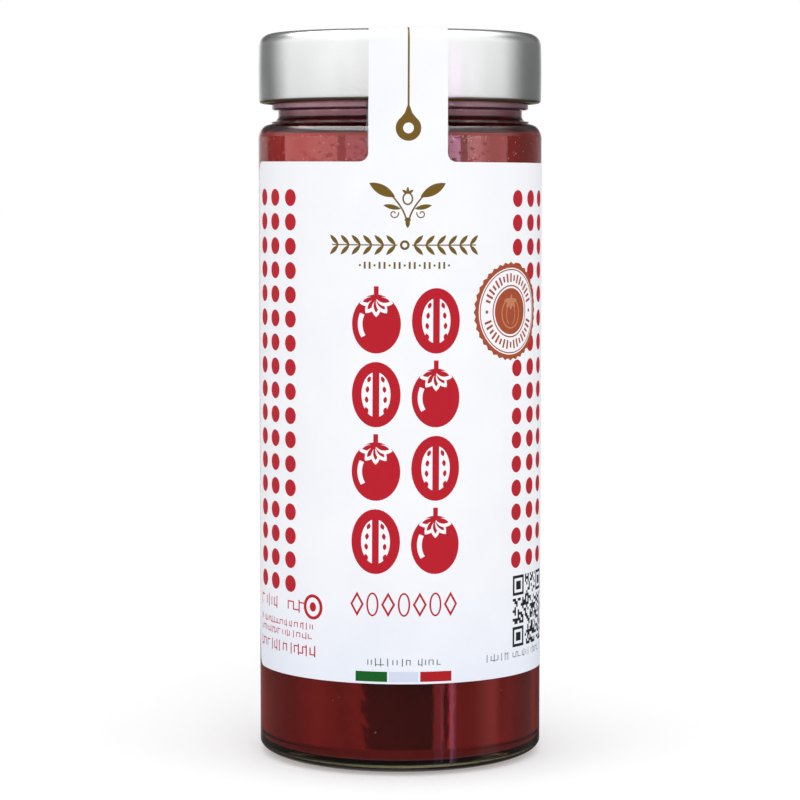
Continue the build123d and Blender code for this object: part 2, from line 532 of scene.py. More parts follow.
def bar(x, y, width, height, ink, degrees=0):
    """Prints a filled rectangle by its middle, turned by an angle."""
    w, h = width / 2, height / 2
    print_shapes.append((turned_by([(-w, -h), (w, -h), (w, h), (-w, h)], x, y, degrees), ink))


def leaf(x, y, length, width, degrees, ink, steps=9):
    """Prints a pointed leaf that starts at (x, y) and grows at an angle."""
    upper = [(length * t, width / 2 * math.sin(math.pi * t) ** 0.8) for t in shares(steps)[1:-1]]
    lower = [(px, -py) for px, py in reversed(upper)]
    outline = [(0, 0)] + lower[::-1] + [(length, 0)] + upper[::-1]
    print_shapes.append((turned_by(outline, x, y, degrees), ink))


def band(points, width, ink):
    """Prints a stroke of even width along a line of points."""
    left, right = [], []
    for i, (x, y) in enumerate(points):
        before, after = points[max(i - 1, 0)], points[min(i + 1, len(points) - 1)]
        dx, dy = after[0] - before[0], after[1] - before[1]
        size = math.hypot(dx, dy)
        nx, ny = -dy / size * width / 2, dx / size * width / 2
        left.append((x + nx, y + ny))
        right.append((x - nx, y - ny))
    print_shapes.append((right + left[::-1], ink))


# %% [markdown]
# The strip carries a gold drop on a thread-fine line, the sides of the label three
# columns of red dots each, and a round seal covers some of the dots on the right.

# %% Drop, dots and bars
def drop(x, y, size, ink):
    """Prints a round drop with a hole and a pointed top."""
    tip = y + 1.81 * size
    sides = arc((x, y), size, size, 128, 412, 30)
    flank = [(x + size * 0.30, y + size * 1.16), (x + 0.2, tip)]
    print_shapes.append((sides + flank + [(2 * x - px, py) for px, py in reversed(flank)], ink))
    oval(x, y, size * 0.42, size * 0.42, "paper")


drop_height = 161.1
drop_size = 3.15
drop(0, drop_height, drop_size, "gold")
line_start = drop_height + 1.7 * drop_size
line_end = strip_end - 4
line_width = 0.48
bar(0, (line_start + line_end) / 2, line_width, line_end - line_start, "gold")

centre_line = -0.6  # the print sits a little left of the sheet's middle
dot_pitch = 6.077
dot_top = 143.85
dot_radius = 2.15
column_pitch = 6.8
for side, first_column, rows in ((-1, -33.0, 17), (1, 32.4, 16)):
    for column in range(3):
        for row in range(rows):
            x = first_column + side * column * column_pitch
            oval(x, dot_top - row * dot_pitch, dot_radius, dot_radius, "red", 20)

bar_height = 25.1
for place, ink in ((-1, "green"), (0, "pale"), (1, "flag_red")):
    bar(centre_line + place * 8.15, bar_height, 8.05 if place else 7.3, 2.55, ink)
print("drop, dots and bars:", len(print_shapes), "outlines")

# %% [markdown]
# Where the real label spells words, this one has generic marks of the same size and
# weight: a gold sprig, a gold leaf garland, two columns of plum tomatoes, whole and
# halved by turns, a row of thin lozenges, and fine rules in place of small type.

# %% Gold sprig, garland and fine row
def curl(x, y, size, first, side, ink):
    """Prints a thin line that winds inwards, to the right or, with side -1, to the left."""
    points = []
    for k in range(19):
        reach = size * (1 - 0.042 * k)
        a = first + k * 0.36
        points.append((x + side * reach * math.cos(a), y + reach * math.sin(a)))
    band(points, 0.3, ink)


def sprig(x, y):
    """Prints a cut stem with two broad leaves rising to both sides, tendrils and a small fruit."""
    for side in (-1, 1):
        stem = [(x + side * (0.25 + 4.6 * t ** 1.7), y - 4.3 + 7.6 * t) for t in shares(8)]
        band(stem, 0.42, "gold")
        leaf(x + side * 3.1, y + 2.0, 7.3, 2.5, 90 - side * 62, "gold")
        leaf(x + side * 1.7, y - 0.9, 4.4, 1.2, 90 - side * 78, "gold")
        curl(x + side * 3.4, y - 2.1, 1.2, math.pi * 0.9, side, "gold")
    oval(x, y + 1.6, 1.35, 1.6, "gold")
    oval(x, y + 1.6, 0.95, 1.2, "paper")
    for turn in (-1, 0, 1):
        leaf(x, y + 2.8, 1.7, 0.7, 90 + 55 * turn, "gold")
    leaf(x, y - 3.3, 2.3, 1.1, 270, "gold")
    oval(x, y - 3.6, 0.75, 0.6, "gold")


def garland(x, y, width):
    """Prints a stem with leaves in pairs, growing out from the middle to both sides."""
    oval(x, y, 1.2, 1.2, "gold")
    oval(x, y, 0.6, 0.6, "paper")
    bar(x - width / 4 - 0.6, y, width / 2 - 2.4, 0.3, "gold")
    bar(x + width / 4 + 0.6, y, width / 2 - 2.4, 0.3, "gold")
    pairs = 6
    for side in (-1, 1):
        for k in range(pairs):
            root = x + side * (2.2 + k * (width / 2 - 4.6) / (pairs - 1))
            for lift in (-1, 1):
                along = 90 - side * 90
                leaf(root, y, 3.4, 1.05, along + side * lift * 46, "gold")


gold_middle = centre_line - 0.2
fine_height, fine_pitch = 127.4, 1.24
sprig(-0.1, 142.2)
garland(gold_middle, 132.4, 38.4)
for k in range(19):
    height = 1.7 if k % 3 else 0.5
    bar(gold_middle + (k - 9) * fine_pitch, fine_height, 0.5, height, "gold")
print("with the sprig and garland:", len(print_shapes), "outlines")

# %% [markdown]
# A tomato is an oval, and everything in it is made by covering: leaves of bare paper under
# smaller inked ones give the stalk's leaflets a white rim, and a second oval of paper turns
# the first into the wall of a halved fruit.

# %% Plum tomatoes in two columns
tomato_across, tomato_up = 6.15, 7.3
stroke = 2.5


def whole_tomato(x, y, ink):
    """Prints a plum tomato as a solid oval with a shine left bare, under its stalk and leaflets."""
    oval(x, y - 0.9, tomato_across, tomato_up, ink, 40)
    shine = arc((x, y - 0.9), tomato_across - 2.1, tomato_up - 2.3, 150, 218, 10)
    band(shine, 1.2, "paper")
    for turn in (-62, -31, 0, 31, 62):
        leaf(x, y + tomato_up - 2.2, 4.3, 2.3, 270 + turn * 1.25, "paper")
        leaf(x, y + tomato_up - 1.9, 3.5, 1.3, 270 + turn * 1.25, ink)
    bar(x, y + tomato_up - 0.4, 1.2, 3.0, ink)


def half_tomato(x, y, ink):
    """Prints a halved plum tomato: its wall, the core and two chambers of seeds."""
    middle, long_half = y - 0.1, tomato_up + 0.8
    oval(x, middle, tomato_across, long_half, ink, 40)
    oval(x, middle, tomato_across - stroke, long_half - stroke, "paper", 36)
    bar(x, middle, 1.7, 2 * (long_half - stroke) + 0.6, ink)
    for side in (-1, 1):
        for k in (-1.5, -0.5, 0.5, 1.5):
            lean = 90 + side * k * 14
            leaf(x + side * (2.25 - 0.1 * k * k), y - 0.95 + k * 2.55, 1.7, 0.95, lean, ink, 6)


first_row, row_pitch = 113.85, 18.28
tomato_rows = [first_row - row_pitch * row for row in range(4)]
for row, y in enumerate(tomato_rows):
    for column, x in enumerate((centre_line - 7.2, centre_line + 7.8)):
        make = whole_tomato if (row + column) % 2 == 0 else half_tomato
        make(x, y, "red")
print("with the tomatoes:", len(print_shapes), "outlines")

# %% [markdown]
# Thin outlined shapes stand where a line of light capitals was, and rows of short strokes
# where small type was. The strokes come from a seeded draw, so that they look uneven like
# type, spell nothing and are the same in every run.

# %% Thin lozenges and fine rules
def lozenge(x, y, across, up, line, ink):
    """Prints a diamond outline of a given line width."""
    outer = [(x - across, y), (x, y - up), (x + across, y), (x, y + up)]
    print_shapes.append((outer, ink))
    share = 1 - line / min(across, up) * 1.4
    inner = [(x - across * share, y), (x, y - up * share), (x + across * share, y), (x, y + up * share)]
    print_shapes.append((inner, "paper"))


lozenge_height, lozenge_pitch = 43.2, 3.95
for k in range(7):
    x = centre_line + (k - 3) * lozenge_pitch
    if k % 2:
        oval(x, lozenge_height, 1.55, 3.0, "red")
        oval(x, lozenge_height, 1.1, 2.55, "paper")
    else:
        lozenge(x, lozenge_height, 1.75, 3.1, 0.42, "red")

draw = random.Random(21)


def rules(x, y, width, size, ink, weight=0.3):
    """Prints a line of short upright rules of uneven height, as small type looks from afar."""
    place = 0.0
    while place < width:
        step = size * draw.choice((0.42, 0.5, 0.62))
        if draw.random() < 0.86:
            bar(x + place, y, weight, size * draw.choice((0.62, 0.62, 0.95)), ink)
            if draw.random() < 0.55:
                lift = size * draw.choice((-0.28, 0.28))
                bar(x + place + step / 2, y + lift, step, weight * 0.8, ink)
        place += step


rules(centre_line - 9.0, 28.7, 18.2, 2.1, "grey", 0.24)
left_edge = -49.3
rules(left_edge, 41.2, 20.0, 3.4, "red", 0.42)
rules(left_edge, 36.4, 24.6, 1.9, "red", 0.28)
rules(left_edge, 33.9, 23.8, 1.9, "red", 0.28)
rules(left_edge, 30.2, 26.6, 3.0, "red", 0.4)
mark = left_edge + 24.3
for across, up, ink in ((3.0, 3.2, "red"), (2.1, 2.4, "paper"), (1.0, 1.2, "red")):
    oval(mark, 41.5, across, up, ink)
print("with lozenges and fine rules:", len(print_shapes), "outlines")

# %% [markdown]
# The square code is a field of random modules from the same draw, so it says nothing.
# Dark modules that touch in a row are printed as one bar, which halves their number.

# %% Square code
code_cells = 25
code_size = 18.2
code_left = 31.1
code_low = 30.4


def code_cell(column, row):
    """True where the code is dark: three corner targets, and chance elsewhere."""
    for cx, cy in ((3, 3), (code_cells - 4, code_cells - 4), (3, code_cells - 4)):
        ring = max(abs(column - cx), abs(row - cy))
        if ring <= 4:
            return ring in (0, 1, 3)
    return draw.random() < 0.5


cell = code_size / code_cells
for row in range(code_cells):
    dark = [code_cell(column, row) for column in range(code_cells)] + [False]
    start = None
    for column, is_dark in enumerate(dark):
        if is_dark and start is None:
            start = column
        if not is_dark and start is not None:
            middle = code_left + (start + column) / 2 * cell
            bar(middle, code_low + (row + 0.5) * cell, (column - start) * cell, cell, "black")
            start = None
rules(code_left - 9.2, 28.5, 26.6, 2.1, "grey", 0.24)
print("with the square code:", len(print_shapes), "outlines")

# %% [markdown]
# The round seal has a toothed edge, rings, a circle of ticks where its words were, and a
# plain tomato in the middle.

# %% Round seal
seal_x = 29.6
seal_y = 115.7
seal_radius = 12.4


def toothed(x, y, radius, teeth, depth, ink):
    """Prints a disc with a scalloped edge."""
    outline = []
    for k in range(teeth * 2):
        a = math.pi * k / teeth
        r = radius if k % 2 == 0 else radius - depth
        outline.append((x + r * math.cos(a), y + r * math.sin(a)))
    print_shapes.append((outline, ink))


toothed(seal_x, seal_y, seal_radius, 36, 0.55, "brown")
for ring, radius in enumerate((10.9, 10.6, 10.3, 6.6, 6.25, 5.8)):
    oval(seal_x, seal_y, radius, radius, "brown" if ring % 2 else "paper", 48)
tick_circle, tick_count = 8.4, 40
for k in range(tick_count):
    a = 2 * math.pi * k / tick_count
    tick_x, tick_y = seal_x + tick_circle * math.cos(a), seal_y + tick_circle * math.sin(a)
    if k % 20 == 0:
        oval(tick_x, tick_y, 0.45, 0.45, "brown", 12)
    elif k % 20 not in (1, 19):
        bar(tick_x, tick_y, 2.2 if k % 3 else 1.5, 0.62, "brown", math.degrees(a))
oval(seal_x, seal_y - 0.5, 3.5, 3.9, "copper", 32)
oval(seal_x, seal_y - 0.5, 3.15, 3.55, "brown", 32)
for turn in (-70, -35, 0, 35, 70):
    leaf(seal_x, seal_y + 2.9, 2.6, 1.1, 270 + turn * 1.2, "copper")
band([(seal_x, seal_y + 2.7), (seal_x + 0.3, seal_y + 4.2)], 0.5, "copper")
for bend in (-1, 1):
    turns = (-1.1, -0.6, 0, 0.6, 1.0)
    rib = [(seal_x + bend * 1.7 * math.cos(a), seal_y - 0.7 + 2.8 * math.sin(a)) for a in turns]
    band(rib, 0.28, "copper")
print("the print has", len(print_shapes), "outlines")

# %% [markdown]
# Wrapping needs cuts of its own: upright ones every degree and a half, so that the sheet
# bends round the jar, and level ones where the strip turns over the lid. They go into the
# same triangulation as the print.

# %% Cutting the sheet
def wrap_lines():
    """Upright and level cuts inside the outline that let the sheet bend."""
    lines = []
    step = math.radians(1.5) * paper_radius
    count = int(half_label / step)
    for k in range(-count, count + 1):
        x = k * step
        inside_strip = abs(x) < half_strip - 0.05
        margin = label_corner if abs(x) > half_label - label_corner else 0.02
        top = strip_end - 0.02 if inside_strip else label_top - margin
        if inside_strip and abs(x) > half_strip - strip_fillet:
            top = strip_end - strip_fillet
        lines.append(((x, label_bottom + margin), (x, top)))
    levels = [shoulder_height, skirt_end, path_ring, path_slope, path_panel]
    levels += [corner_start + over_corner * k / 12 for k in range(12)]
    for y in levels:
        lines.append(((-half_strip + 0.01, y), (half_strip - 0.01, y)))
    return lines


def cut_sheet():
    """Triangles of the flat sheet, each with the ink of the topmost outline over it."""
    verts, edges, faces = [], [], []
    for outline in [sheet_outline()] + [shape for shape, _ in print_shapes]:
        faces.append(list(range(len(verts), len(verts) + len(outline))))
        verts += [Vector(p) for p in outline]
    for start, end in wrap_lines():
        edges.append((len(verts), len(verts) + 1))
        verts += [Vector(start), Vector(end)]
    inside_only, nearness = 1, 1e-5
    result = delaunay_2d_cdt(verts, edges, faces, inside_only, nearness, True)
    points, triangles, sources = result[0], result[2], result[5]
    inks = ["paper"] + [ink for _, ink in print_shapes]
    kept = [(tri, inks[max(source)]) for tri, source in zip(triangles, sources) if 0 in source]
    print("the sheet is cut into", len(kept), "triangles")
    return points, kept


flat_points, flat_faces = cut_sheet()

# %% [markdown]
# The wrap follows the sheet's own path: up the jar, straight across the neck, up the lid's
# skirt, round its corner and over its top. The same function with a smaller offset gives
# the back of the paper, and the two are closed along the rim into one thin solid.

# %% Wrapping the sheet
glue_gap = 0.02
sheet_skew = 0.0042  # a quarter of a degree askew, as a label put on by machine often is
sheet_middle = 90.0


def path_place(v):
    """Radius, height and lean of the face under the paper, by distance up the sheet."""
    if v <= shoulder_height:
        return body_radius, v, 0.0
    if v <= corner_start:
        share = min(1.0, (v - shoulder_height) / (skirt_end - shoulder_height))
        return body_radius + (lid_radius - body_radius) * share, v, 0.0
    if v <= path_ring:
        lean = (v - corner_start) / lid_corner
        return ring_start + lid_corner * math.cos(lean), corner_start + lid_corner * math.sin(lean), lean
    if v <= path_slope:
        return ring_start - (v - path_ring), lid_top, math.pi / 2
    if v <= path_panel:
        share = (v - path_slope) / slope_run
        return ring_inner + (panel_radius - ring_inner) * share, lid_top - panel_drop * share, math.pi / 2
    return panel_radius - (v - path_panel), lid_top - panel_drop, math.pi / 2


def wrapped(u, v, gap):
    """The place in space of a point of the flat sheet, at a gap off the jar or lid."""
    u, v = u + (v - sheet_middle) * sheet_skew, v - u * sheet_skew
    radius, height, lean = path_place(v)
    side = max(radius, lid_radius) if lean == 0 else lid_radius
    angle = u / paper_radius
    forward = (side + gap) * math.cos(angle) - (side - radius) - gap * (1 - math.cos(lean))
    return (side + gap * math.cos(lean)) * math.sin(angle), -forward, height + gap * math.sin(lean)


def wrap_sheet(name):
    """The label as a closed thin solid, and the ink of each of its faces."""
    count = len(flat_points)
    points = [wrapped(p[0], p[1], glue_gap + paper) for p in flat_points]
    points += [wrapped(p[0], p[1], glue_gap) for p in flat_points]
    faces, inks, used = [], [], {}
    for tri, ink in flat_faces:
        faces.append(list(tri))
        inks.append(ink)
        for a, b in zip(tri, tri[1:] + tri[:1]):
            used[(a, b)] = True
    rims = [(a, b) for a, b in used if (b, a) not in used]
    faces += [[count + i for i in reversed(tri)] for tri, _ in flat_faces]
    faces += [[b, a, count + a, count + b] for a, b in rims]
    inks += ["paper"] * (len(flat_faces) + len(rims))
    piece = new_piece(name, points, faces, 40)
    return piece, inks


label, face_inks = wrap_sheet("label_sheet")
print("the wrapped label has", len(label.data.polygons), "faces in", len(set(face_inks)), "inks")
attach(label, "root")
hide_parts("paper_label")

# %% [markdown]
# ## Finishes
#
# Every finish is a Principled shader, most with their own nodes for grain and unevenness. Colours
# are written as they look under plain light, in 0 to 255, and turned into the linear
# values that the shader works in.

# %% Helpers for finishes
RAMP_FROM, RAMP_TO = 0.3, 0.7  # a noise seldom leaves this range


def colour(red, green, blue):
    """A linear colour from display values of 0 to 255."""
    def linear(value):
        value /= 255
        return value / 12.92 if value <= 0.04045 else ((value + 0.055) / 1.055) ** 2.4

    return (linear(red), linear(green), linear(blue), 1.0)


def add(material, kind, **settings):
    """A new node of a kind in a material, with sockets and settings by name."""
    node = material.node_tree.nodes.new(kind)
    for key, value in settings.items():
        name = key.replace("_", " ").title()
        if name in node.inputs:
            node.inputs[name].default_value = value
        else:
            setattr(node, key, value)
    return node


def link(material, start, end):
    """Joins an output to an input of a material's nodes."""
    material.node_tree.links.new(start, end)


def shader(name, base, **sockets):
    """A new material with one Principled shader, and that shader."""
    material = bpy.data.materials.new(name)
    material.use_nodes = True
    main = material.node_tree.nodes["Principled BSDF"]
    main.inputs["Base Color"].default_value = base
    for key, value in sockets.items():
        main.inputs[key].default_value = value
    material.diffuse_color = base
    return material, main


def object_noise(material, scale, detail=3.0, stretch=(1, 1, 1)):
    """A noise in the object's own metres, that much finer than a metre, stretched along the axes."""
    place = add(material, "ShaderNodeTexCoord")
    turn = add(material, "ShaderNodeMapping")
    turn.inputs["Scale"].default_value = stretch
    link(material, place.outputs["Object"], turn.inputs["Vector"])
    grain = add(material, "ShaderNodeTexNoise", scale=scale, detail=detail)
    link(material, turn.outputs["Vector"], grain.inputs["Vector"])
    return grain.outputs["Fac"]


def bump(material, main, height, depth):
    """Relief of a depth in millimetres on a shader, from a height between 0 and 1."""
    node = add(material, "ShaderNodeBump")
    node.inputs["Distance"].default_value = depth * MM
    node.inputs["Strength"].default_value = 1.0
    link(material, height, node.inputs["Height"])
    link(material, node.outputs["Normal"], main.inputs["Normal"])
    return node


def shade_range(material, factor, low, high):
    """A colour that runs from one to another as a noise goes through its usual range."""
    ramp = add(material, "ShaderNodeValToRGB")
    ramp.color_ramp.elements[0].position = RAMP_FROM
    ramp.color_ramp.elements[1].position = RAMP_TO
    ramp.color_ramp.elements[0].color = low
    ramp.color_ramp.elements[1].color = high
    link(material, factor, ramp.inputs["Fac"])
    return ramp.outputs["Color"]


def rising(material, below, above, start, end):
    """A colour that turns from one to another between two heights."""
    place = add(material, "ShaderNodeTexCoord")
    parts = add(material, "ShaderNodeSeparateXYZ")
    link(material, place.outputs["Object"], parts.inputs[0])
    rise = add(material, "ShaderNodeMapRange")
    rise.inputs["From Min"].default_value = start * MM
    rise.inputs["From Max"].default_value = end * MM
    link(material, parts.outputs["Z"], rise.inputs["Value"])
    mix = add(material, "ShaderNodeMix", data_type="RGBA")
    link(material, rise.outputs["Result"], mix.inputs["Factor"])
    link(material, below, mix.inputs[6])
    link(material, above, mix.inputs[7])
    return mix.outputs[2]


def tell(*materials):
    """Prints how many nodes each finish is made of."""
    for material in materials:
        print("finish", material.name, "has", len(material.node_tree.nodes), "nodes")


# %% [markdown]
# ### Glass
#
# Clear soda glass bends light by 1.52 and is faintly green where it is thick, as in the
# foot. Lamps can't be sampled through glass, so for shadow rays alone the shader lets
# light straight through; without that the sauce would be dark and full of noise.

# %% Clear glass
clear_glass, glass_main = shader(
    "clear_glass",
    (0.96, 0.98, 0.97, 1),
    **{"Roughness": 0.0, "IOR": 1.52, "Transmission Weight": 1.0},
)
ripple = object_noise(clear_glass, 60, 2.0, (1, 1, 0.35))
ripple_bump = bump(clear_glass, glass_main, ripple, 0.06)
dimple = object_noise(clear_glass, 430, 1.0)
dimple_bump = bump(clear_glass, glass_main, dimple, 0.018)
link(clear_glass, ripple_bump.outputs["Normal"], dimple_bump.inputs["Normal"])
rays = add(clear_glass, "ShaderNodeLightPath")
open_way = add(clear_glass, "ShaderNodeBsdfTransparent")
open_way.inputs["Color"].default_value = (0.92, 0.95, 0.94, 1)
pick = add(clear_glass, "ShaderNodeMixShader")
out = clear_glass.node_tree.nodes["Material Output"]
link(clear_glass, rays.outputs["Is Shadow Ray"], pick.inputs[0])
link(clear_glass, glass_main.outputs["BSDF"], pick.inputs[1])
link(clear_glass, open_way.outputs["BSDF"], pick.inputs[2])
link(clear_glass, pick.outputs["Shader"], out.inputs["Surface"])
tint = add(clear_glass, "ShaderNodeVolumeAbsorption")
tint.inputs["Color"].default_value = (0.50, 0.54, 0.30, 1)
tint.inputs["Density"].default_value = 40
link(clear_glass, tint.outputs["Volume"], out.inputs["Volume"])
glass.data.materials.append(clear_glass)
tell(clear_glass)

# %% [markdown]
# ### Passata
#
# Sieved tomato is a dense deep red with fine fibres. Pressed against glass it has a wet
# shine of its own colour, because light that enters the outermost cells comes back red,
# so the shader is partly metallic: its mirror image of the room is red rather than white.

# %% Passata
passata_skin, passata_main = shader(
    "passata_skin",
    colour(164, 40, 37),
    **{"Roughness": 0.06, "Metallic": 0.92, "Specular IOR Level": 0.1},
)
fibre = object_noise(passata_skin, 160, 5.0, (1, 1, 0.3))
passata_colour = shade_range(passata_skin, fibre, colour(157, 35, 33), colour(170, 45, 41))
link(passata_skin, passata_colour, passata_main.inputs["Base Color"])
smear = object_noise(passata_skin, 140, 3.0, (1, 1, 0.12))
smear_bump = bump(passata_skin, passata_main, smear, 0.03)
crumb = object_noise(passata_skin, 450, 1.0, (1, 1, 0.6))
crumb_bump = bump(passata_skin, passata_main, crumb, 0.03)
link(passata_skin, smear_bump.outputs["Normal"], crumb_bump.inputs["Normal"])
sauce.data.materials.append(passata_skin)
tell(passata_skin)

# %% [markdown]
# In the neck the sauce takes a paler, more mauve and streaky copy of its finish: painted shade
# at its foot, and a painted reflection of bluish light higher up, on the sauce's faces above the shoulder.

# %% Painted shade and reflection in the neck
painted_neck_sheen, neck_sheen_main = shader(
    "painted_neck_sheen",
    colour(148, 96, 112),
    **{"Roughness": 0.16, "Metallic": 0.4, "Specular IOR Level": 0.2},
)
streak = object_noise(painted_neck_sheen, 220, 4.0, (1, 1, 0.3))
# painted shade and reflection: the darkest colours are painted shade at the neck's foot, the paler mauve
# ones a painted reflection higher up
neck_sheen_foot = shade_range(painted_neck_sheen, streak, colour(70, 22, 26), colour(104, 34, 42))
neck_sheen_low = shade_range(painted_neck_sheen, streak, colour(168, 78, 102), colour(190, 98, 126))
neck_sheen_high = shade_range(painted_neck_sheen, streak, colour(210, 144, 166), colour(230, 164, 188))
neck_sheen_low = rising(painted_neck_sheen, neck_sheen_foot, neck_sheen_low, bead_bottom - 2.1, bead_bottom - 1.4)
neck_sheen_high = rising(painted_neck_sheen, neck_sheen_low, neck_sheen_high, bead_bottom - 0.6, bead_bottom + 0.8)
link(painted_neck_sheen, neck_sheen_high, neck_sheen_main.inputs["Base Color"])
bump(painted_neck_sheen, neck_sheen_main, streak, 0.03)
sauce.data.materials.append(painted_neck_sheen)
neck_sheen_start = sauce_shoulder + 1.8
for face in sauce.data.polygons:
    face.material_index = int(face.center.z / MM > neck_sheen_start)
tell(painted_neck_sheen)

# %% [markdown]
# A bubble is given a pale colour, a painted glint of the light it would catch, and a bit of
# pulp one a little lighter than the sauce. Each takes one plain wet colour: at a tenth
# of a millimetre there is no grain to see.

# %% Bubbles and pulp
# the bubbles' and the froth's pale colour is a painted glint
bubble_glint_skin, _ = shader("bubble_glint_skin", colour(238, 172, 156), **{"Roughness": 0.15})
pulp_skin, _ = shader("pulp_skin", colour(190, 84, 68), **{"Roughness": 0.35})
bubbles.data.materials.append(bubble_glint_skin)
froth.data.materials.append(bubble_glint_skin)
pulp.data.materials.append(pulp_skin)
tell(bubble_glint_skin, pulp_skin)

# %% [markdown]
# ### Lid
#
# The cap is lacquered in satin silver over steel. The lacquer lies like fine orange peel and
# is a little cloudy, and the rolled edge shows a hint of the gold lacquer inside.

# %% Silver lacquer
silver, silver_main = shader(
    "silver_lacquer",
    colour(216, 217, 217),
    **{"Roughness": 0.22, "Metallic": 1.0},
)
peel = object_noise(silver, 700, 3.0)
bump(silver, silver_main, peel, 0.012)
cloud = object_noise(silver, 45, 4.0)
silver_colour = shade_range(silver, cloud, colour(213, 214, 214), colour(220, 221, 221))
link(silver, silver_colour, silver_main.inputs["Base Color"])
rough = add(silver, "ShaderNodeMapRange")
rough.inputs["To Min"].default_value = 0.2
rough.inputs["To Max"].default_value = 0.26
link(silver, cloud, rough.inputs["Value"])
link(silver, rough.outputs["Result"], silver_main.inputs["Roughness"])
gold_lacquer, _ = shader("gold_lacquer", colour(150, 132, 88), **{"Roughness": 0.35, "Metallic": 1.0})
lid.data.materials.append(silver)
lid.data.materials.append(gold_lacquer)
for face in lid.data.polygons:
    middle = face.center / MM
    across = math.hypot(middle.x, middle.y)
    under_curl = middle.z < lid_bottom + 0.45 and across < lid_radius - 0.5
    inside_skirt = across < lid_radius - 0.2 and middle.z < corner_start
    under_panel = face.normal.z < -0.2 and middle.z > corner_start
    face.material_index = int(under_curl or inside_skirt or under_panel)
tell(silver, gold_lacquer)

# %% [markdown]
# ### Paper and inks
#
# The label is smooth coated paper. All inks share its fine grain, the reds and greys lie
# matt in it, and the gold is a foil with a soft metal shine. The white turns a little
# cooler and greyer towards the label's foot, so the paper's colour is mixed by height.

# %% Paper and inks
ink_finishes = {
    "paper": (colour(249, 250, 254), 0.5, 0.0),
    "red": (colour(188, 20, 38), 0.5, 0.0),
    "gold": (colour(116, 90, 30), 0.42, 0.3),
    "brown": (colour(168, 76, 42), 0.5, 0.0),
    "copper": (colour(206, 134, 98), 0.45, 0.2),
    "green": (colour(8, 94, 28), 0.5, 0.0),
    "flag_red": (colour(176, 18, 28), 0.5, 0.0),
    "pale": (colour(214, 222, 240), 0.5, 0.0),
    "grey": (colour(88, 88, 96), 0.5, 0.0),
    "black": (colour(28, 28, 30), 0.5, 0.0),
}
cool_height = 32


def make_ink(name, base, roughness, metallic):
    """One ink on the label's paper, with the paper's grain and a trace of unevenness."""
    sockets = {"Roughness": roughness, "Metallic": metallic, "Specular IOR Level": 0.2}
    material, main = shader("label_" + name, base, **sockets)
    grain = object_noise(material, 2600, 3.0)
    bump(material, main, grain, 0.006)
    mottle = object_noise(material, 60, 3.0)
    paler = [min(1.0, value * 1.02) for value in base[:3]] + [1.0]
    darker = [value * 0.975 for value in base[:3]] + [1.0]
    surface = shade_range(material, mottle, darker, paler)
    if name == "paper":
        cool = shade_range(material, mottle, colour(234, 239, 249), colour(241, 245, 255))
        surface = rising(material, cool, surface, label_bottom, label_bottom + cool_height)
    link(material, surface, main.inputs["Base Color"])
    return material


ink_order = list(ink_finishes)
for ink in ink_order:
    label.data.materials.append(make_ink(ink, *ink_finishes[ink]))
for face, ink in zip(label.data.polygons, face_inks):
    face.material_index = ink_order.index(ink)
tell(*label.data.materials)

# %% [markdown]
# ## Studio
#
# The floor and the background are plain and pale. Plain soft light comes from all round,
# with one large soft lamp in front. Shiny things need something to mirror: the world shows
# them a bright front, and darker sides and back, as black flags beside a set would.
#
# The floor is one plane, far wider than the view. It stays out of the jar's mirror images,
# because the room further down gives those, and for the camera alone it glows a little, so
# that it runs into the white background without a line.

# %% Floor
floor_reach = 12.0
glow_level = 0.18
floor_mesh = bpy.data.meshes.new("floor")
floor_corners = [(x * floor_reach, y * floor_reach, 0) for x, y in ((-1, -1), (1, -1), (1, 1), (-1, 1))]
floor_mesh.from_pydata(floor_corners, [], [(0, 1, 2, 3)])
floor = bpy.data.objects.new("floor", floor_mesh)
bpy.context.collection.objects.link(floor)
floor_sockets = {"Roughness": 0.9, "Specular IOR Level": 0.0}
floor_paint, floor_main = shader("floor_paint", (0.93, 0.93, 0.93, 1), **floor_sockets)
floor_rays = add(floor_paint, "ShaderNodeLightPath")
floor_glow = add(floor_paint, "ShaderNodeEmission")
lift = add(floor_paint, "ShaderNodeMath", operation="MULTIPLY")
lift.inputs[1].default_value = glow_level
link(floor_paint, floor_rays.outputs["Is Camera Ray"], lift.inputs[0])
link(floor_paint, lift.outputs[0], floor_glow.inputs["Strength"])
both = add(floor_paint, "ShaderNodeAddShader")
link(floor_paint, floor_main.outputs["BSDF"], both.inputs[0])
link(floor_paint, floor_glow.outputs["Emission"], both.inputs[1])
floor_out = floor_paint.node_tree.nodes["Material Output"]
link(floor_paint, both.outputs["Shader"], floor_out.inputs["Surface"])
floor.data.materials.append(floor_paint)
floor.visible_glossy = False
floor.visible_transmission = False
tell(floor_paint)

# %% [markdown]
# The room round the jar could be built from panels and lamps, or be an image wrapped round
# the scene. Here it is worked out in the world's own nodes: each direction has an azimuth,
# 0 towards the front and growing to the right, and a height, and soft steps along the two
# say how bright the room is there. Both are in radians, and the steps are given in degrees.

# %% World
world = bpy.data.worlds.new("studio")
bpy.context.scene.world = world
world.use_nodes = True
tree = world.node_tree
tree.nodes.clear()


def world_math(operation, first, second=None):
    """A maths node of the world between outputs or plain numbers."""
    node = tree.nodes.new("ShaderNodeMath")
    node.operation = operation
    for socket, value in zip(node.inputs, (first, second)):
        if value is None:
            continue
        if isinstance(value, (int, float)):
            socket.default_value = value
        else:
            tree.links.new(value, socket)
    return node.outputs[0]


def world_ease(value, start, end, before, after):
    """A smooth step of the world from one level to another."""
    node = tree.nodes.new("ShaderNodeMapRange")
    node.interpolation_type = "SMOOTHSTEP"
    tree.links.new(value, node.inputs["Value"])
    for name, number in zip(("From Min", "From Max", "To Min", "To Max"), (start, end, before, after)):
        node.inputs[name].default_value = number
    return node.outputs["Result"]


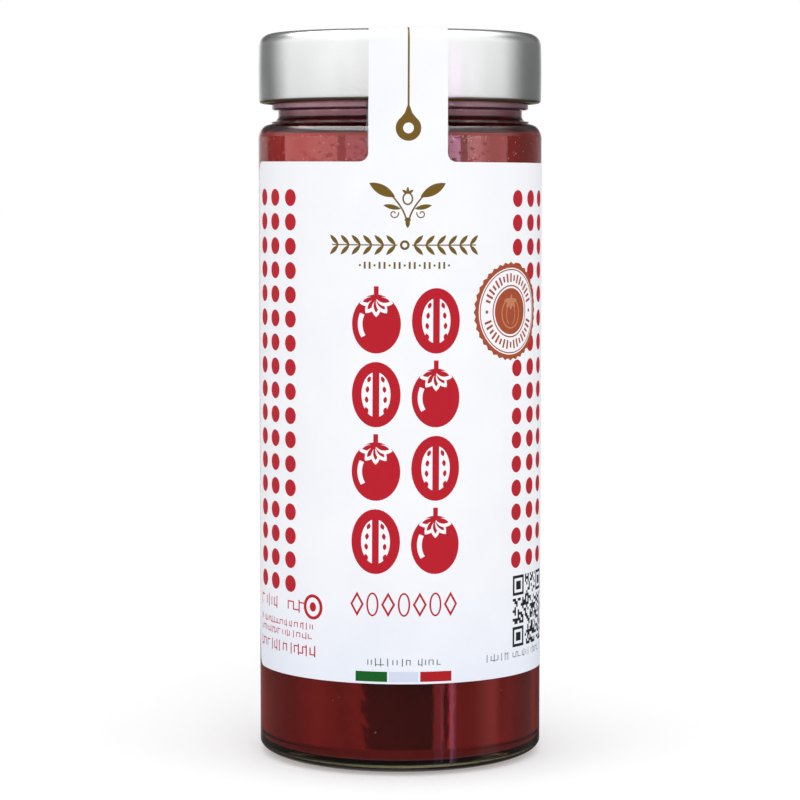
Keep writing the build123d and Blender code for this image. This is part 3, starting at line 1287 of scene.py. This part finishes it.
direction = tree.nodes.new("ShaderNodeTexCoord")
parts = tree.nodes.new("ShaderNodeSeparateXYZ")
tree.links.new(direction.outputs["Generated"], parts.inputs[0])
east, north, up = parts.outputs
azimuth = world_math("ARCTAN2", east, world_math("MULTIPLY", north, -1.0))
height_angle = world_math("ARCSINE", up)
print("the world's directions take", len(tree.nodes), "nodes")


# %% [markdown]
# A list of edges describes the room from behind on the left, past the front, to behind on
# the right. Each edge is its azimuth, its softness and the level that follows it.

# %% Levels by direction
def step_at(value, angle, soft, before=0.0, after=1.0):
    """A smooth step at an angle in degrees, that many degrees soft to both sides."""
    return world_ease(value, math.radians(angle - soft), math.radians(angle + soft), before, after)


def around(first, edges, turn=azimuth):
    """A level that starts behind on the left and takes a new value at each (angle, softness, level)."""
    total, before = first, first
    for angle, soft, after in edges:
        total = world_math("ADD", total, step_at(turn, angle, soft, 0.0, after - before))
        before = after
    return total


def between(low, high, low_soft, high_soft):
    """One between two heights in degrees and nothing outside, each end with its own softness."""
    bottom = step_at(height_angle, low, low_soft)
    return world_math("MULTIPLY", bottom, step_at(height_angle, high, high_soft, 1.0, 0.0))


def blend(first, second, share):
    """One level that passes into another as a share goes from 0 to 1."""
    rest = world_math("SUBTRACT", 1.0, share)
    return world_math("ADD", world_math("MULTIPLY", first, rest), world_math("MULTIPLY", second, share))


print("a level with two edges adds 4 nodes to the world's", len(tree.nodes))

# %% [markdown]
# What the sauce mirrors comes back through the glass, as a transmission ray, and what the
# glass and the lid mirror themselves is a glossy ray. The two see the same room at other
# strengths, so that the shine on the glass and the glow of the sauce can be set apart. The
# room changes with height: the foot mirrors the table's dark surroundings, the shoulder
# a bright wall with a window, and the lid a white screen between two black flags.

# %% What the foot mirrors
lean_start, lean_limit, lean_rate = 0.17, -0.06, 3.0  # its left edges lean sideways lower down
low_lean = world_math("MAXIMUM", world_math("ADD", height_angle, lean_start), lean_limit)
leaning = world_math("ADD", azimuth, world_math("MULTIPLY", low_lean, lean_rate))
sauce_low_left = (
    (-158, 12, 0.33),
    (-128, 18, 0.27),
    (-100, 12, 0.40),
    (-62, 8, 0.30),
    (-47, 4, 0.42),
    (-37.4, 0.9, 0.06),
    (10, 20, 0.03),
)
sauce_low_right = (
    (26.2, 0.7, 0.30),
    (32.0, 0.4, 0.46),
    (35.3, 0.4, 0.03),
    (38.4, 0.8, 0.62),
    (43.6, 1.0, 0.46),
    (46.0, 0.8, 0.29),
    (62, 8, 0.36),
    (76, 5, 0.53),
    (90, 4, 0.36),
    (112, 14, 0.22),
    (143, 7, 0.66),
    (166, 10, 1.0),
)
sauce_low = around(1.0, sauce_low_left, leaning)
sauce_low = world_math("ADD", sauce_low, around(0.0, sauce_low_right))
print("so far the world has", len(tree.nodes), "nodes")

# %% [markdown]
# Four more lists follow: what the sauce behind the glass gives back under the shoulder,
# what the glass itself shines with at the foot and under the shoulder, and the screen that
# the lid mirrors.

# %% What the rest of the jar and the lid mirror
sauce_high = around(
    1.1,
    (
        (-166, 10, 0.80),
        (-132, 8, 0.90),
        (-114.6, 1.4, 1.30),
        (-80, 14, 1.12),
        (-56.2, 0.8, 0.72),
        (-49.2, 0.8, 0.90),
        (-36, 4, 0.80),
        (-20, 10, 1.0),
        (36, 4, 0.48),
        (56.0, 1.0, 0.88),
        (98.5, 1.5, 0.56),
        (112, 10, 0.42),
        (143, 7, 0.62),
        (166, 10, 1.1),
    ),
)
shine_low = around(
    0.24,
    (
        (-166, 10, 0.1),
        (-142, 8, 0.13),
        (64, 8, 0.32),
        (84, 5, 0.14),
        (140, 8, 0.06),
        (166, 10, 0.24),
    ),
)
shine_high = around(
    1.0,
    (
        (-166, 10, 0.5),
        (-138, 3, 0.14),
        (-109.4, 1.5, 1.45),
        (-80, 12, 2.2),
        (-53.6, 0.8, 1.0),
        (-46.8, 0.8, 1.7),
        (46.5, 0.6, 1.25),
        (52.8, 0.8, 2.7),
        (68, 10, 1.3),
        (93.5, 1.5, 0.2),
        (145, 5, 0.3),
        (166, 10, 0.8),
    ),
)
screen = around(
    1.2,
    (
        (-162, 10, 0.22),
        (-119, 16, 1.1),
        (-70, 14, 1.2),
        (-38, 6, 1.12),
        (20, 10, 1.14),
        (62, 12, 1.06),
        (101, 17, 0.19),
        (162, 10, 1.2),
    ),
)
print("now it has", len(tree.nodes))

# %% [markdown]
# Now the lists are joined by height. The side of a straight jar mirrors each height of the
# room where it stands, so one narrow band just over the level of the eye fills the glass
# above the label. Over the screen comes a pale ceiling, and behind the jar a black flag,
# which draws the lid's dark rim.

# %% The levels by height
to_low = step_at(height_angle, -9.2, 0.5, 1.0, 0.0)
above_low = step_at(height_angle, -5, 4.2)
in_band = between(0.2, 1.12, 0.12, 0.12)
higher = step_at(height_angle, 3, 8, 0.85, 1.26)
above_screen = step_at(height_angle, 40, 10)
flag_height = between(8, 74, 4, 6)
flag = world_math("MULTIPLY", flag_height, around(1.0, ((-147, 6, 0.0), (147, 6, 1.0))))
flag_level = (0.12, 0.5)  # at its foot and at its top
ceiling_level = 1.3
table_level = 0.24
screen = blend(world_math("MULTIPLY", screen, higher), ceiling_level, above_screen)
screen = blend(screen, step_at(height_angle, 38, 16, *flag_level), flag)
level_of_shine = blend(blend(screen, shine_high, in_band), shine_low, to_low)
level_of_sauce = blend(sauce_low, sauce_high, above_low)
level_of_sauce = blend(level_of_sauce, table_level, step_at(height_angle, -16, 3, 1.0, 0.0))
print("with the blends it has", len(tree.nodes))

# %% [markdown]
# A window stands to the right of the front, and its image runs down the glass as a thin
# bright line, once at the shoulder and once at the foot. Three wide soft boxes hang high
# over the set, and give the shoulder and the lid's corner their pale rims.

# %% Window and soft boxes
high_window = around(
    0.0,
    (
        (-46.8, 0.8, 0.5),
        (-29, 2, 0.0),
        (36.6, 1.2, 3.4),
        (41.5, 3.5, 4.4),
        (46.5, 0.6, 0.0),
        (53, 1, 0.5),
        (66, 6, 0.0),
    ),
)
low_window = around(
    0.0,
    (
        (25, 0.8, 0.2),
        (30.5, 0.3, 0.4),
        (33.2, 0.4, 0.0),
        (38.0, 0.7, 1.3),
        (41.6, 0.8, 0.4),
        (43.6, 0.6, 0.0),
    ),
)
window = blend(world_math("MULTIPLY", high_window, in_band), low_window, to_low)
soft_boxes = (  # lowest and highest height, left and right azimuth, strength
    (40, 99, -147, -20, 5.5),
    (54, 99, 20, 140, 3.0),
    (40, 99, 46, 147, 0.4),
)


def soft_box(low, high, left, right, strength):
    """A soft patch of light between two heights and two azimuths, in degrees."""
    tall = between(low, high, 6, 6)
    return world_math("MULTIPLY", tall, around(0.0, ((left, 8, strength), (right, 8, 0.0))))


for patch in [soft_box(*box) for box in soft_boxes]:
    level_of_shine = world_math("ADD", level_of_shine, patch)
print("with the window and", len(soft_boxes), "soft boxes it has", len(tree.nodes))

# %% [markdown]
# Each kind of ray now gets its own picture of the room. The camera sees plain white, rays
# that spread from matt surfaces meet an even pale light, mirror rays the bright screen with
# its window, and rays that come through the glass the levels made for the sauce.

# %% World shader
ways = tree.nodes.new("ShaderNodeLightPath")


def backdrop(tint, strength):
    """A background of one colour whose strength is a number or an output."""
    node = tree.nodes.new("ShaderNodeBackground")
    node.inputs["Color"].default_value = (*tint, 1)
    if isinstance(strength, (int, float)):
        node.inputs["Strength"].default_value = strength
    else:
        tree.links.new(strength, node.inputs["Strength"])
    return node.outputs[0]


def choice(kind, otherwise, chosen, share):
    """A Mix or Add Shader of two backdrops; the Mix takes the second by a share of 0 to 1."""
    node = tree.nodes.new(kind)
    if share is not None:
        tree.links.new(share, node.inputs[0])
    tree.links.new(otherwise, node.inputs[-2])
    tree.links.new(chosen, node.inputs[-1])
    return node.outputs[0]


def for_rays(kind, chosen, otherwise):
    """The chosen backdrop for one kind of ray, and the other for all the rest."""
    return choice("ShaderNodeMixShader", otherwise, chosen, ways.outputs["Is " + kind + " Ray"])


white, mauve = (1, 1, 1), (1, 0.5, 1)
seen = backdrop((0.985, 0.99, 1.0), 0.9)
shine = choice("ShaderNodeAddShader", backdrop(white, level_of_shine), backdrop(mauve, window), None)
seen = for_rays("Glossy", shine, seen)
seen = for_rays("Transmission", backdrop(white, level_of_sauce), seen)
seen = for_rays("Camera", backdrop(white, 1.0), seen)
world_out = tree.nodes.new("ShaderNodeOutputWorld")
tree.links.new(seen, world_out.inputs["Surface"])
print("the world is made of", len(tree.nodes), "nodes")

# %% [markdown]
# One large square lamp in front and above adds a little direction and a soft shadow. It
# stays out of the mirror images, because the glass would show its outline as a hard patch.

# %% Soft lamp
lamp_data = bpy.data.lights.new("front_lamp", "AREA")
lamp_data.shape = "RECTANGLE"
lamp_data.size, lamp_data.size_y = 1.2, 1.2
lamp_data.energy = 6.0
lamp = bpy.data.objects.new("front_lamp", lamp_data)
lamp.location = (0.15, -1.6, 1.3)
lamp.rotation_euler = (Vector((0, 0, 0.09)) - lamp.location).to_track_quat("-Z", "Y").to_euler()
lamp.visible_glossy = False
bpy.context.collection.objects.link(lamp)
print("lamp at", [round(c, 2) for c in lamp.location], "with", lamp_data.energy, "watts")

# %% [markdown]
# ## Camera
#
# The eye is level with a point high on the jar and about ten jar widths away, and looks
# slightly down, so that the lid shows only its side and the foot shows its curve.

# %% Camera
eye_height = 148.7 * MM
eye_distance = 735.0 * MM
eye_turn = math.radians(2.8)  # the label faces a little to the right of the eye
eye_tilt = math.radians(4.46)
camera_data = bpy.data.cameras.new("camera")
camera_data.sensor_width = 36.0
camera_data.lens = 127.7
camera = bpy.data.objects.new("camera", camera_data)
camera.location = (-eye_distance * math.sin(eye_turn), -eye_distance * math.cos(eye_turn), eye_height)
camera.rotation_euler = (math.pi / 2 - eye_tilt, 0, -eye_turn)
bpy.context.collection.objects.link(camera)
bpy.context.scene.camera = camera
print("camera at", [round(c / MM, 1) for c in camera.location], "with a lens of", round(camera_data.lens, 1))

# %% [markdown]
# ## Finish
#
# Colours are shown as they were written, without a film look.

# %% Finish
scene = bpy.context.scene
scene.view_settings.view_transform = "Standard"
